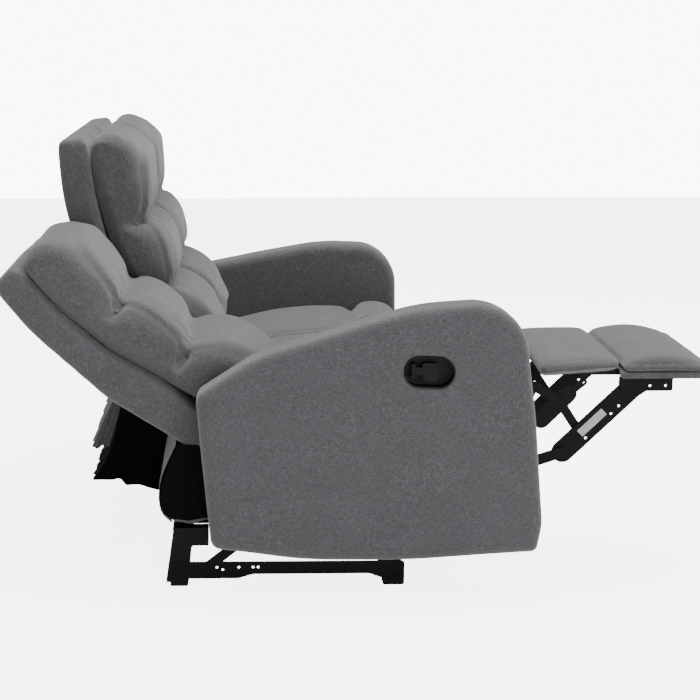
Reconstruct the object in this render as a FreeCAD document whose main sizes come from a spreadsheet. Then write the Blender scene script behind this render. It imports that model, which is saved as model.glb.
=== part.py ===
# Reclining sofa for three people: a fixed middle seat between two end seats that recline.
# Each end seat glides forward on swing links, tips up, opens its footrest and lays its back down.
# The near seat stands open and the far seat stands closed. Millimetres, +X forward, +Z up.
import FreeCAD, Part
import math
import os
import Sketcher

V = FreeCAD.Vector
doc = FreeCAD.newDocument("reclining_sofa")

# Driving sizes: name, value, meaning
SIZES = [
    ("seat_pitch", 520.0, "from one seat centre to the next"),
    ("seat_width", 512.0, "width of one seat frame between the arms"),
    ("back_width", 508.0, "width of one back shell"),
    ("soft_width", 504.0, "width of one cushion and one pillow"),
    ("arm_width", 120.0, "thickness of an arm across the sofa"),
    ("arm_edge_round", 26.0, "rounding round both faces of an arm"),
    ("origin_forward", 16.0, "from the drawing's zero to the middle of the open sofa"),
    ("seat_tilt", 6.0, "degrees that an end seat tips up as it opens"),
    ("glide_forward", 222.0, "forward move of an opening seat at floor height"),
    ("glide_rise", 52.0, "rise of an opening seat at the drawing's zero"),
    ("recline_angle", 29.0, "degrees that the back turns on the seat"),
    ("back_pivot_x", -361.5, "back pivot, along the sofa"),
    ("back_pivot_z", 401.0, "back pivot, height with the seat closed"),
    ("rail_height", 41.0, "upright web of a base rail"),
    ("rail_bottom", 19.0, "underside of a base rail above the floor"),
    ("rail_arch", 10.0, "rise of a base rail's lower edge between its ends"),
    ("rail_rear", -408.0, "rear end of a base rail"),
    ("rail_front", 139.0, "front end of a base rail"),
    ("rail_web", 3.0, "wall of a base rail"),
    ("rail_flange", 34.0, "width of a base rail's foot flange"),
    ("post_depth", 40.0, "rear post across the sofa"),
    ("post_height", 142.0, "top of a rear post"),
    ("foot_length", 52.0, "front foot along the sofa"),
    ("foot_height", 54.0, "front foot height"),
    ("foot_depth", 36.0, "front foot across the sofa"),
    ("foot_round", 14.0, "corner rounding of a front foot"),
    ("tube_side", 25.0, "square cross tube"),
    ("tube_wall", 2.0, "wall of a cross tube"),
    ("plate_thick", 4.0, "steel plate of links and side plates"),
    ("plate_gap", 2.0, "air between neighbouring plates"),
    ("pin_radius", 5.0, "rivet pins in the linkage"),
    ("pin_clearance", 0.06, "radial running fit of a rivet pin"),
    ("rear_pivot_x", -372.0, "rear swing link on the seat, closed"),
    ("rear_pivot_z", 212.0, "rear swing link on the seat, closed"),
    ("rear_link_length", 157.0, "rear swing link, pivot to pivot"),
    ("front_pivot_x", -40.0, "front swing link on the seat, closed"),
    ("front_pivot_z", 180.0, "front swing link on the seat, closed"),
    ("front_link_length", 180.0, "front swing link, pivot to pivot"),
    ("swing_half_width", 15.0, "half width of a swing link"),
    ("front_link_extra", 4.4, "added half width of the front swing link"),
    ("swing_slot", 13.4, "radius of the eye that frees the front link's upper pin"),
    ("upper_link_radius", 170.0, "upper footrest link, pivot to joint"),
    ("reach_x", 494.0, "footrest joint when open, in the seat's own frame"),
    ("reach_z", 366.0, "footrest joint when open, in the seat's own frame"),
    ("joint_drop_x", -134.0, "ottoman link, from footrest joint to upper link joint"),
    ("joint_drop_z", -87.0, "ottoman link, from footrest joint to upper link joint"),
    ("tail_x", -175.0, "ottoman link, from footrest joint to lower link joint"),
    ("tail_z", -135.0, "ottoman link, from footrest joint to lower link joint"),
    ("link_half_width", 11.0, "half width of an upper footrest link"),
    ("lower_half_width", 13.0, "half width of a lower footrest link"),
    ("ottoman_half_width", 26.0, "half width of an ottoman link"),
    ("stay_half_width", 21.0, "half width of a stay link"),
    ("board_back", 256.0, "back of the closed footrest board"),
    ("board_top", 438.0, "top of the closed footrest"),
    ("board_thick", 14.0, "footrest board with its covering"),
    ("board_length", 412.0, "footrest, inner end to outer end"),
    ("outer_board_start", 196.0, "outer board from the footrest's inner end"),
    ("inner_board_end", 190.0, "inner board from the footrest's inner end"),
    ("inner_board_thick", 8.0, "inner footrest board"),
    ("inner_board_rise", 16.0, "lift of the inner board at its outer end"),
    ("board_width", 500.0, "footrest board across the sofa"),
    ("inner_pad_crown", 48.0, "crown of the inner pad in front of the footrest's back"),
    ("outer_pad_crown", 56.0, "crown of the outer pad in front of the footrest's back"),
    ("bracket_inset", 223.0, "footrest joint from the footrest's inner end"),
    ("bracket_drop", 29.4, "footrest joint behind the board"),
    ("deck_x", 88.0, "front of the seat deck"),
    ("deck_z", 318.0, "height of the seat deck at its front"),
    ("deck_pitch", 6.2, "degrees that the deck rises to the front"),
    ("deck_depth", 428.0, "seat deck behind its reference point"),
    ("deck_nose", 100.0, "seat deck in front of its reference point"),
    ("side_rail_height", 140.0, "wooden side rail"),
    ("side_rail_thick", 22.0, "wooden side rail"),
    ("slat_thick", 16.0, "front slat"),
    ("slat_rear", 148.0, "front slat's rear edge behind the reference point"),
    ("slat_front", 60.0, "front slat's front edge in front of the reference point"),
    ("rear_rail_thick", 22.0, "wooden rear rail"),
    ("rear_rail_height", 60.0, "wooden rear rail"),
    ("spring_wire", 3.6, "sinuous spring wire diameter"),
    ("spring_loop", 19.0, "half pitch of the sinuous loops"),
    ("spring_reach", 22.0, "straight part of a spring loop"),
    ("soft_gap", 0.3, "air between soft pieces and what carries them"),
    ("handle_length", 116.0, "release handle cup"),
    ("handle_height", 72.0, "release handle cup"),
    ("handle_depth", 38.0, "release handle cup"),
    ("handle_wall", 2.5, "wall of the handle cup"),
    ("handle_x", 9.0, "centre of the handle cup, seat closed"),
    ("handle_z", 488.0, "centre of the handle cup, seat closed"),
    ("handle_lean", 8.7, "degrees that the cup leans forward, seat closed"),
    ("paddle_thick", 12.0, "pull paddle"),
    ("curtain_thick", 4.0, "rear curtain cloth with its lining"),
    ("curtain_fold", 7.0, "depth of the curtain's folds"),
    ("bracket_thick", 4.0, "back bracket plate"),
    ("shell_round", 14.0, "edge rounding of a back shell"),
    ("middle_leg", 40.0, "side of a middle seat leg"),
    ("tie_width", 30.0, "tie bar along the sofa"),
    ("tie_height", 18.0, "tie bar height"),
    ("label_long", 78.0, "blank label on the ottoman link"),
    ("label_short", 19.5, "blank label on the ottoman link"),
    ("label_thick", 0.4, "blank label on the ottoman link"),
]

sheet = doc.addObject("Spreadsheet::Sheet", "sizes")
for row, (alias, value, meaning) in enumerate(SIZES, start=1):
    sheet.set("A%d" % row, meaning)
    sheet.set("B%d" % row, str(value))
    sheet.setAlias("B%d" % row, alias)
doc.recompute()


def size(alias):
    return float(sheet.get(alias))


# Plane geometry: points are (x, z) pairs in a seat's own side view, closed
def turned(point, degrees):
    angle = math.radians(degrees)
    x, z = point
    return (x * math.cos(angle) - z * math.sin(angle), x * math.sin(angle) + z * math.cos(angle))


def added(first, second):
    return (first[0] + second[0], first[1] + second[1])


def taken(first, second):
    return (first[0] - second[0], first[1] - second[1])


def turn_about(point, centre, degrees):
    return added(centre, turned(taken(point, centre), degrees))


def swing(centre, degrees):
    return FreeCAD.Placement(V(0, 0, 0), FreeCAD.Rotation(V(0, -1, 0), degrees), V(centre[0], 0, centre[1]))


def link_pivot(start, end, length, side):
    # the fixed pivot of a link of this length whose free end moves from start to end
    chord = taken(end, start)
    span = math.hypot(*chord)
    rise = math.sqrt(length ** 2 - (span / 2) ** 2)
    middle = ((start[0] + end[0]) / 2, (start[1] + end[1]) / 2)
    return (middle[0] - side * chord[1] / span * rise, middle[1] + side * chord[0] / span * rise)


def swept_angle(start, end, centre):
    first = math.atan2(start[1] - centre[1], start[0] - centre[0])
    second = math.atan2(end[1] - centre[1], end[0] - centre[0])
    return math.degrees(second - first)


# The opening motion of an end seat
tilt = size("seat_tilt")
glide = (size("glide_forward"), size("glide_rise"))


def opened(point):
    return added(turned(point, tilt), glide)


rear_seat_pivot = (size("rear_pivot_x"), size("rear_pivot_z"))
front_seat_pivot = (size("front_pivot_x"), size("front_pivot_z"))
rear_base_pivot = link_pivot(rear_seat_pivot, opened(rear_seat_pivot), size("rear_link_length"), -1)
front_base_pivot = link_pivot(front_seat_pivot, opened(front_seat_pivot), size("front_link_length"), -1)
rear_swing = swept_angle(rear_seat_pivot, opened(rear_seat_pivot), rear_base_pivot)
front_swing = swept_angle(front_seat_pivot, opened(front_seat_pivot), front_base_pivot)

# The footrest linkage in the seat's frame: ottoman link carries the footrest and keeps its direction
foot_closed = (size("board_back") - size("bracket_drop"), size("board_top") - size("bracket_inset"))
foot_open = (size("reach_x"), size("reach_z"))
joint_drop = (size("joint_drop_x"), size("joint_drop_z"))
tail = (size("tail_x"), size("tail_z"))
joint_open = added(foot_open, joint_drop)
joint_closed = added(foot_closed, joint_drop)
upper_pivot = link_pivot(joint_closed, joint_open, size("upper_link_radius"), 1)
tail_open = added(foot_open, tail)
tail_closed = added(foot_closed, tail)
lower_pivot = added(upper_pivot, taken(tail, joint_drop))
upper_sweep = swept_angle(joint_closed, joint_open, upper_pivot) % 360.0
board_turn = 90.0 - tilt
stay_joint_open = (322.0, 353.0)
ottoman_lean = math.degrees(math.atan2(-tail[1], -tail[0]))
stay_joint_closed = turn_about(stay_joint_open, upper_pivot, -upper_sweep)
back_pivot = (size("back_pivot_x"), size("back_pivot_z"))

# Offsets of the plate layers from a seat's centre plane, outermost first
half_width = size("seat_width") / 2
rail_layer = half_width - size("rail_web") - 4.0
plate_step = size("plate_thick") + size("plate_gap")
plate_layer = half_width - size("side_rail_thick") - size("plate_thick") / 2
swing_layer = plate_layer - plate_step
lower_layer = swing_layer - plate_step
ottoman_layer = lower_layer - plate_step
upper_layer = ottoman_layer - plate_step
stay_layer = upper_layer - plate_step


# Sketches and features
def new_body(label):
    body = doc.addObject("PartDesign::Body", label)
    body.Label = label
    body.AllowCompound = True
    return body


def plane_of(body, role):
    return next(item for item in body.Origin.OriginFeatures if item.Role == role)


def side_sketch(body, name, across=0.0):
    # the sketch looks at the side view: its x is +X, its y is +Z, and it lies at Y = across
    sketch = body.newObject("Sketcher::SketchObject", name)
    sketch.AttachmentSupport = (plane_of(body, "XZ_Plane"), [""])
    sketch.MapMode = "FlatFace"
    sketch.AttachmentOffset = FreeCAD.Placement(V(0, 0, -across), FreeCAD.Rotation())
    return sketch


def corners(points):
    # rounded polygon: points are (x, z, radius), each corner an arc that touches both its sides
    shapes = []
    count = len(points)
    ends = []
    for index, (x, z, radius) in enumerate(points):
        here = V(x, z, 0)
        before = V(points[index - 1][0], points[index - 1][1], 0)
        after = V(points[(index + 1) % count][0], points[(index + 1) % count][1], 0)
        to_before = (before - here).normalize()
        to_after = (after - here).normalize()
        if radius <= 0:
            ends.append((here, None, here))
            continue
        half = to_before.getAngle(to_after) / 2
        reach = radius / math.tan(half)
        middle = (to_before + to_after).normalize()
        centre = here + middle * (radius / math.sin(half))
        ends.append((here + to_before * reach, centre - middle * radius, here + to_after * reach))
    for index, (start, top, end) in enumerate(ends):
        if top is not None:
            shapes.append(Part.Arc(start, top, end))
        following = ends[(index + 1) % count][0]
        if (following - end).Length > 1e-6:
            shapes.append(Part.LineSegment(end, following))
    return shapes


def slot(start, end, radius):
    first, second = V(start[0], start[1], 0), V(end[0], end[1], 0)
    along = (second - first).normalize()
    across = V(-along.y, along.x, 0) * radius
    return [
        Part.LineSegment(first + across, second + across),
        Part.Arc(second + across, second + along * radius, second - across),
        Part.LineSegment(second - across, first - across),
        Part.Arc(first - across, first - along * radius, first + across),
    ]


def pad(body, name, geometry, across, length, expression=None):
    # a pad of this length centred on the plane Y = across
    sketch = side_sketch(body, name + "_sketch", across)
    sketch.addGeometry(geometry, False)
    feature = body.newObject("PartDesign::Pad", name)
    feature.Profile = sketch
    feature.Midplane = True
    feature.Length = length
    if expression:
        feature.setExpression("Length", expression)
    return feature


def pocket(body, name, geometry, across, length):
    sketch = side_sketch(body, name + "_sketch", across)
    sketch.addGeometry(geometry, False)
    feature = body.newObject("PartDesign::Pocket", name)
    feature.Profile = sketch
    feature.Midplane = True
    feature.Length = length
    return feature


def ring(point, radius):
    return [Part.Circle(V(point[0], point[1], 0), V(0, 0, 1), radius)]


def chain(body, name, points, radius, layer):
    # a flat link of constant width through these points
    made = []
    for index in range(len(points) - 1):
        geometry = slot(points[index], points[index + 1], radius)
        made.append(pad(body, "%s_%d" % (name, index), geometry, -layer, size("plate_thick"), "sizes.plate_thick"))
    return made


def pin(body, name, point, from_layer, to_layer):
    # a rivet pin from the middle of one plate to the far face of another
    reach = abs(from_layer - to_layer) + size("plate_thick") / 2
    direction = 1 if to_layer > from_layer else -1
    middle = from_layer + direction * reach / 2
    feature = pad(body, name, ring(point, size("pin_radius")), -middle, reach)
    sketch = feature.Profile[0]
    sketch.addConstraint(Sketcher.Constraint("Radius", 0, size("pin_radius")))
    sketch.setExpression("Constraints[0]", "sizes.pin_radius")
    return feature


def eye(body, name, point, layer, radius=None):
    hole = radius or size("pin_radius") + size("pin_clearance")
    return pocket(body, name, ring(point, hole), -layer, size("plate_thick") + 1.0)


def both_sides(body, features):
    mirror = body.newObject("PartDesign::Mirrored", "both_sides")
    mirror.Originals = features
    mirror.MirrorPlane = (plane_of(body, "XZ_Plane"), [""])
    body.Tip = mirror
    return mirror


parts = []
shift = FreeCAD.Placement(V(-size("origin_forward"), 0, 0), FreeCAD.Rotation())


def place(item, centre_y, pose=None):
    item.Placement = shift * FreeCAD.Placement(V(0, centre_y, 0), FreeCAD.Rotation()) * (pose or FreeCAD.Placement())
    parts.append(item)
    return item


def solid_part(label, shape, centre_y, pose=None):
    item = doc.addObject("Part::Feature", label)
    item.Label = label
    item.Shape = shape
    return place(item, centre_y, pose)


# Base of an end seat: steel rails on a pair of feet and a pair of rear posts
def make_base(name, centre_y):
    web_bottom = size("rail_bottom")
    web_top = web_bottom + size("rail_height")
    rails = new_body(name + "_base_rails")
    rear, front = size("rail_rear"), size("rail_front")
    web_raised = web_bottom + size("rail_arch")
    outline = corners([(rear, web_bottom, 2), (-255, web_bottom, 30), (-222, web_raised, 30), (55, web_raised, 30),
                       (82, web_bottom, 20), (front, web_bottom, 2), (front, web_top, 8), (rear, web_top, 2)])
    features = [pad(rails, "web", outline, -rail_layer, size("rail_web"), "sizes.rail_web")]
    for label, start, end, radius in (("brace", (-340.0, web_bottom + 20), rear_base_pivot, 12.0),
                                      ("front_ear", (front_base_pivot[0], web_bottom + 20), front_base_pivot, 17.0)):
        features.append(pad(rails, label, slot(start, end, radius), -rail_layer, size("rail_web")))
    flange_top = web_raised + size("rail_web")
    flange = corners([(-205, web_raised, 0), (40, web_raised, 0), (40, flange_top, 0), (-205, flange_top, 0)])
    flange_middle = rail_layer + size("rail_web") / 2 - size("rail_flange") / 2
    features.append(pad(rails, "flange", flange, -flange_middle, size("rail_flange"), "sizes.rail_flange"))
    for label, pivot in (("rear_pin", rear_base_pivot), ("front_pin", front_base_pivot)):
        features.append(pin(rails, label, pivot, rail_layer, swing_layer))
    for index, x in enumerate((-307, -293, -255, -221, -209)):
        hole = ring((x, web_bottom + size("rail_height") * (0.66 if index != 1 else 0.52)), 3.2)
        features.append(pocket(rails, "hole_%d" % index, hole, -rail_layer, size("rail_web") + 1))
    both_sides(rails, features)
    place(rails, centre_y)

    posts = new_body(name + "_rear_posts")
    inner_face = rail_layer - size("rail_web") / 2
    top = size("post_height")
    outline = corners([(-428, 10, 3), (-418, 10, 0), (-418, 0, 4), (-376, 0, 4), (-374, 10, 0), (-370, 60, 6),
                       (-366, top - 43, 6), (-326, top - 43, 3), (-326, top, 3), (-409, top, 4)])
    middle = inner_face - size("post_depth") / 2
    both_sides(posts, [pad(posts, "post", outline, -middle, size("post_depth"), "sizes.post_depth")])
    place(posts, centre_y)

    feet = new_body(name + "_front_feet")
    foot_rear = size("rail_front") - size("foot_length")
    foot_round = size("foot_round")
    outline = corners([(foot_rear, 0, 5), (size("rail_front"), 0, 5), (size("rail_front"), size("foot_height"), foot_round),
                       (foot_rear, size("foot_height"), foot_round)])
    middle = inner_face - size("foot_depth") / 2
    features = [pad(feet, "foot", outline, -middle, size("foot_depth"), "sizes.foot_depth")]
    # a slot in the foot clears the eye of the front swing link
    slot_radius = size("swing_half_width") + size("front_link_extra") + 1.5
    features.append(pocket(feet, "link_slot", ring(front_base_pivot, slot_radius), -swing_layer, size("plate_thick") + 3))
    both_sides(feet, features)
    place(feet, centre_y)

    tubes = new_body(name + "_cross_tubes")
    side, wall = size("tube_side"), size("tube_wall")
    features = []
    front_clear = inner_face - size("foot_depth")
    rear_clear = inner_face - size("post_depth")
    for label, x, z, reach in (("front", foot_rear + size("foot_length") / 2, size("foot_height") / 2, front_clear),
                               ("rear", -392.0, top / 2, rear_clear)):
        geometry = corners([(x - side / 2, z - side / 2, 3), (x + side / 2, z - side / 2, 3),
                            (x + side / 2, z + side / 2, 3), (x - side / 2, z + side / 2, 3)])
        pad(tubes, label, geometry, 0.0, 2 * reach)
        inner = side / 2 - wall
        geometry = corners([(x - inner, z - inner, 1), (x + inner, z - inner, 1),
                            (x + inner, z + inner, 1), (x - inner, z + inner, 1)])
        features.append(pocket(tubes, label + "_bore", geometry, 0.0, 2 * reach + 2))
    place(tubes, centre_y)


# Swing links carry the seat over the base
def make_swing_links(name, centre_y, is_open):
    radius = size("swing_half_width")
    for label, low, high, sweep, top_eye in (
            ("_rear_swing_links", rear_base_pivot, rear_seat_pivot, rear_swing, None),
            ("_front_swing_links", front_base_pivot, front_seat_pivot, front_swing, size("swing_slot"))):
        links = new_body(name + label)
        features = chain(links, "arm", [low, high], radius + (size("front_link_extra") if top_eye else 0), swing_layer)
        features.append(eye(links, "low_eye", low, swing_layer))
        features.append(eye(links, "high_eye", high, swing_layer, top_eye))
        both_sides(links, features)
        place(links, centre_y, swing(low, sweep) if is_open else None)


seat_pose = FreeCAD.Placement(V(glide[0], 0, glide[1]), FreeCAD.Rotation(V(0, -1, 0), tilt))


def deck_pose():
    return FreeCAD.Placement(V(size("deck_x"), 0, size("deck_z")), FreeCAD.Rotation(V(0, -1, 0), size("deck_pitch")))


# Steel side plates join the seat's frame to every link
def make_side_plates(name, centre_y, pose):
    plates = new_body(name + "_side_plates")
    spine_rear = (size("back_pivot_x") + 8, size("rear_pivot_z") + 18)
    spine_front = (lower_pivot[0] - 24, lower_pivot[1] - 42)
    features = []
    for label, start, end, radius in (
            ("back_lug", back_pivot, spine_rear, 19.0),
            ("rear_lug", rear_seat_pivot, spine_rear, 17.0),
            ("spine", spine_rear, spine_front, 22.0),
            ("front_lug", front_seat_pivot, (front_seat_pivot[0] + 10, spine_front[1] - 12), 18.0),
            ("lower_lug", spine_front, lower_pivot, 13.0),
            ("upper_lug", lower_pivot, upper_pivot, 13.0)):
        features.append(pad(plates, label, slot(start, end, radius), -plate_layer, size("plate_thick"), "sizes.plate_thick"))
    for label, point, layer in (("rear_pin", rear_seat_pivot, swing_layer), ("front_pin", front_seat_pivot, swing_layer),
                                ("back_pin", back_pivot, swing_layer), ("lower_pin", lower_pivot, lower_layer),
                                ("upper_pin", upper_pivot, upper_layer)):
        features.append(pin(plates, label, point, plate_layer, layer))
    for index, share in enumerate((0.25, 0.5, 0.75)):
        spot = added(spine_rear, tuple(share * step for step in taken(spine_front, spine_rear)))
        features.append(eye(plates, "hole_%d" % index, spot, plate_layer, 4.0))
    both_sides(plates, features)
    place(plates, centre_y, pose)


# Footrest links
def make_footrest_links(name, centre_y, is_open, pose):
    half = size("link_half_width")
    links = new_body(name + "_upper_links")
    route = [upper_pivot, (265, 395), stay_joint_open, joint_open]
    features = chain(links, "arm", route, half, upper_layer)
    features.append(pin(links, "stay_pin", stay_joint_open, upper_layer, stay_layer))
    features.append(eye(links, "body_eye", upper_pivot, upper_layer))
    features.append(eye(links, "ottoman_eye", joint_open, upper_layer))
    both_sides(links, features)
    place(links, centre_y, pose * (FreeCAD.Placement() if is_open else swing(upper_pivot, -upper_sweep)))

    links = new_body(name + "_lower_links")
    route = [lower_pivot, (228, 212), tail_open]
    features = chain(links, "arm", route, size("lower_half_width"), lower_layer)
    features.append(eye(links, "body_eye", lower_pivot, lower_layer))
    features.append(eye(links, "ottoman_eye", tail_open, lower_layer))
    both_sides(links, features)
    place(links, centre_y, pose * (FreeCAD.Placement() if is_open else swing(lower_pivot, -upper_sweep)))

    fold = taken(foot_closed, foot_open)
    folded = FreeCAD.Placement(V(fold[0], 0, fold[1]), FreeCAD.Rotation())
    ottoman_pose = pose * (FreeCAD.Placement() if is_open else folded)
    links = new_body(name + "_ottoman_links")
    half = size("ottoman_half_width")
    features = chain(links, "arm", [tail_open, foot_open], half, ottoman_layer)
    features.append(pin(links, "upper_pin", joint_open, ottoman_layer, upper_layer))
    features.append(pin(links, "tail_pin", tail_open, ottoman_layer, lower_layer))
    features.append(pin(links, "foot_pin", foot_open, ottoman_layer, lower_layer))
    along = turned((1, 0), ottoman_lean)
    side = (along[1], -along[0])
    for index, (reach, offset) in enumerate(((62, 14), (145, 12.4), (171, 11))):
        spot = (tail_open[0] + along[0] * reach + side[0] * offset, tail_open[1] + along[1] * reach + side[1] * offset)
        features.append(eye(links, "hole_%d" % index, spot, ottoman_layer, 3.2))
    both_sides(links, features)
    place(links, centre_y, ottoman_pose)

    stay_fold = taken(stay_joint_closed, stay_joint_open)
    stay_folded = FreeCAD.Placement(V(stay_fold[0], 0, stay_fold[1]), FreeCAD.Rotation())
    links = new_body(name + "_stay_links")
    half = size("stay_half_width")
    top = (384.0, 391.0)
    features = chain(links, "arm", [(277, 311), (345, 366)], half, stay_layer)
    features.append(pad(links, "neck", slot((345, 366), top, 9.0), -stay_layer, size("plate_thick")))
    features.append(eye(links, "joint_eye", stay_joint_open, stay_layer))
    features.append(eye(links, "top_eye", top, stay_layer, 3.2))
    both_sides(links, features)
    place(links, centre_y, pose * (FreeCAD.Placement() if is_open else stay_folded))
    return ottoman_pose


def footrest_pose(is_open, pose):
    if not is_open:
        return pose
    move = taken(foot_open, turn_about(foot_closed, (0, 0), board_turn))
    return pose * FreeCAD.Placement(V(move[0], 0, move[1]), FreeCAD.Rotation(V(0, -1, 0), board_turn))


# Footrest boards and pads are drawn closed: u runs down from the top end, v runs forward from the back
def outline_wire(points, spot):
    # points are (first, second, kind); "arc" marks the point that an arc passes on its way to the next
    edges = []
    spots = [spot(first, second) for first, second, kind in points]
    index = 1
    while index <= len(points):
        here = index % len(points)
        if points[here][2] == "arc":
            following = (index + 1) % len(points)
            edges.append(Part.Arc(spots[index - 1], spots[here], spots[following]).toShape())
            index += 2
        else:
            edges.append(Part.LineSegment(spots[index - 1], spots[here]).toShape())
            index += 1
    return Part.Wire(edges)


def footrest_wire(points, across):
    return outline_wire(points, lambda u, v: V(size("board_back") + v, across, size("board_top") - u))


def softness(reach):
    # how full a padded piece stands at this share of its half width
    return 0.3 + 0.7 * math.sqrt(1 - reach ** 8)


soft_reaches = [1.0, 0.97, 0.9, 0.75, 0.5]


def loft_across(section, width):
    reaches = [-reach for reach in soft_reaches] + [0.0] + soft_reaches[::-1]
    wires = [section(reach * width / 2, softness(abs(reach))) for reach in reaches]
    return Part.makeLoft(wires, True, False)


def inner_board_lift(u):
    return size("inner_board_rise") * u / size("inner_board_end")


def inner_pad_section(across, share):
    face = size("inner_board_thick") + size("soft_gap")
    end, crown = size("inner_board_end"), size("inner_pad_crown")
    inset = (1 - share) * 10
    far = end - 2 - inset
    low = face + inner_board_lift(far)
    return footrest_wire([
        (4 + inset, face + inner_board_lift(4 + inset), "line"), (far, low, "line"),
        (far + 5, low + 14 * share, "arc"), (far - 5, low + 4 + 20 * share, "line"),
        (95, face + 8 + (crown - face - 8) * share, "arc"), (16 + inset, face + 38 * share, "line"),
        (1 + inset, face + 18 * share, "arc")], across)


def outer_pad_section(across, share):
    low = size("board_thick") + size("soft_gap")
    start, end = size("outer_board_start"), size("board_length")
    crown = size("outer_pad_crown") - low
    inset = (1 - share) * 12
    far = end + 2 - inset
    return footrest_wire([
        (start, low, "line"), (far - 6, low, "line"),
        (far, low + 8 * share, "arc"), (far - 14, low + 17 * share, "line"),
        (306, low + crown * share, "arc"), (start + 11, low + 32 * share, "line"),
        (start + 2, low + 17 * share, "arc")], across)


def footrest_boards():
    back, top, width = size("board_back"), size("board_top"), size("board_width")
    length, start = size("board_length"), size("outer_board_start")
    box = Part.makeBox(size("board_thick"), width, length - start, V(back, -width / 2, top - length))
    upright = [edge for edge in box.Edges if abs(edge.Vertexes[0].Y - edge.Vertexes[-1].Y) < 1e-6]
    outer = box.makeFillet(3.0, [edge for edge in upright if edge.CenterOfMass.x > back + 1])
    end, thick, rise = size("inner_board_end"), size("inner_board_thick"), size("inner_board_rise")
    side = footrest_wire([(0, 0, "line"), (end, rise, "line"), (end, rise + thick, "line"), (0, thick, "line")],
                         -width / 2 + 20)
    inner = Part.Face(side).extrude(V(0, width - 40, 0))
    return [outer, inner]


def make_footrest(name, centre_y, pose):
    solid_part(name + "_footrest_boards", Part.makeCompound(footrest_boards()), centre_y, pose)
    width = size("board_width") + 8
    solid_part(name + "_footrest_inner_pad", loft_across(inner_pad_section, width), centre_y, pose)
    solid_part(name + "_footrest_outer_pad", loft_across(outer_pad_section, width), centre_y, pose)

    # the flange carries the footrest on the ottoman link, the strap joins the two boards
    brackets = new_body(name + "_footrest_brackets")
    back, top = size("board_back"), size("board_top")
    joint_u, start = size("bracket_inset"), size("outer_board_start")

    def at(u, v, radius=0.0):
        return (back + v, top - u, radius)

    outline = corners([at(start - 4, 0), at(start - 4, -20, 6), at(joint_u - 18, -45, 12), at(joint_u + 20, -45, 12),
                       at(joint_u + 34, -35, 8), at(320, -35, 5), at(320, 0)])
    features = [pad(brackets, "plate", outline, -lower_layer, size("plate_thick"), "sizes.plate_thick")]
    foot = corners([at(start + 4, -3), at(316, -3), at(316, 0), at(start + 4, 0)])
    features.append(pad(brackets, "foot", foot, -(lower_layer + 11), 22.0))
    features.append(eye(brackets, "joint_eye", foot_closed, lower_layer))
    for index, u in enumerate((266, 303)):
        features.append(eye(brackets, "hole_%d" % index, (back - 22.5, top - u), lower_layer, 3.2))
    lift = [inner_board_lift(u) for u in (100, size("inner_board_end"))]
    strap = corners([at(100, -4.4, 2), at(126, -4.4, 2), at(130, 1), at(start, 1), at(start, 13),
                     at(size("inner_board_end"), lift[1] - 0.1), at(100, lift[0] - 0.1)])
    features.append(pad(brackets, "strap", strap, -stay_layer, size("plate_thick"), "sizes.plate_thick"))
    both_sides(brackets, features)
    place(brackets, centre_y, pose)


# Seat frame: two wooden side rails, a flat front slat and a rear rail, drawn level as the deck lies
def seat_frame_shape():
    depth, nose, thick = size("deck_depth"), size("deck_nose"), size("side_rail_thick")
    tall = size("side_rail_height")
    clear = half_width - thick
    rails = [Part.makeBox(depth + nose, thick, tall, V(-depth, low, -tall)) for low in (clear, -half_width)]
    slat = Part.makeBox(size("slat_rear") + size("slat_front"), 2 * clear, size("slat_thick"),
                        V(-size("slat_rear"), -clear, -size("slat_thick")))
    rear = Part.makeBox(size("rear_rail_thick"), 2 * clear - 60, size("rear_rail_height"),
                        V(-depth + 40, -clear + 30, -size("rear_rail_height")))
    rear_slat = Part.makeBox(60, 2 * clear, size("slat_thick"), V(-depth + 20, -clear, -size("slat_thick")))
    return rails[0].fuse([rails[1], slat, rear, rear_slat]).removeSplitter()


def spring_shape():
    wire_radius = size("spring_wire") / 2
    loop, reach = size("spring_loop") / 2, size("spring_reach") / 2
    rear = -size("deck_depth") + 50
    front = -size("slat_rear") + 60
    height = wire_radius + 0.05
    count = int((front - rear) / (2 * loop))
    edges = []
    x, side = rear, 1
    spot = V(x, 0, height)
    following = V(x, side * reach, height)
    edges.append(Part.LineSegment(spot, following).toShape())
    for index in range(count):
        turn = V(x + loop, side * (reach + loop), height)
        end = V(x + 2 * loop, side * reach, height)
        edges.append(Part.Arc(V(x, side * reach, height), turn, end).toShape())
        x = x + 2 * loop
        last = index == count - 1
        finish = V(x, 0 if last else -side * reach, height)
        edges.append(Part.LineSegment(end, finish).toShape())
        side = -side
    path = Part.Wire(edges)
    circle = Part.Wire([Part.makeCircle(wire_radius, spot, V(0, 1, 0))])
    return path.makePipeShell([circle], True, False)


def make_springs(name, centre_y, pose):
    one = spring_shape()
    spacing = 92.0
    springs = [one.translated(V(0, (index - 2) * spacing, 0)) for index in range(5)]
    solid_part(name + "_seat_springs", Part.makeCompound(springs), centre_y, pose * deck_pose())


def cushion_section(across, share):
    # s runs forward along the deck, h stands up from it; a crease parts the front roll from the seat
    low = size("spring_wire") + 0.05 + size("soft_gap")
    full = 0.8 + 0.2 * share
    inset = (1 - share) * 14
    points = [(-404 + inset, low, "line"), (92 - inset, low, "line"),
              (140 - inset, 29, "arc"), (162 - inset, 76, "line"),
              (146 - inset, low + 109 * full, "arc"), (92, low + 128 * full, "line"),
              (46, low + 122 * full, "arc"), (21, low + 97 * full, "line"),
              (6, low + 117 * full, "arc"), (-26, low + 125 * full, "line"),
              (-200, low + 137 * full, "arc"), (-376 + inset, low + 114 * full, "line"),
              (-408 + inset, 56, "arc")]
    return outline_wire(points, lambda s, h: V(s, across, h))


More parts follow.
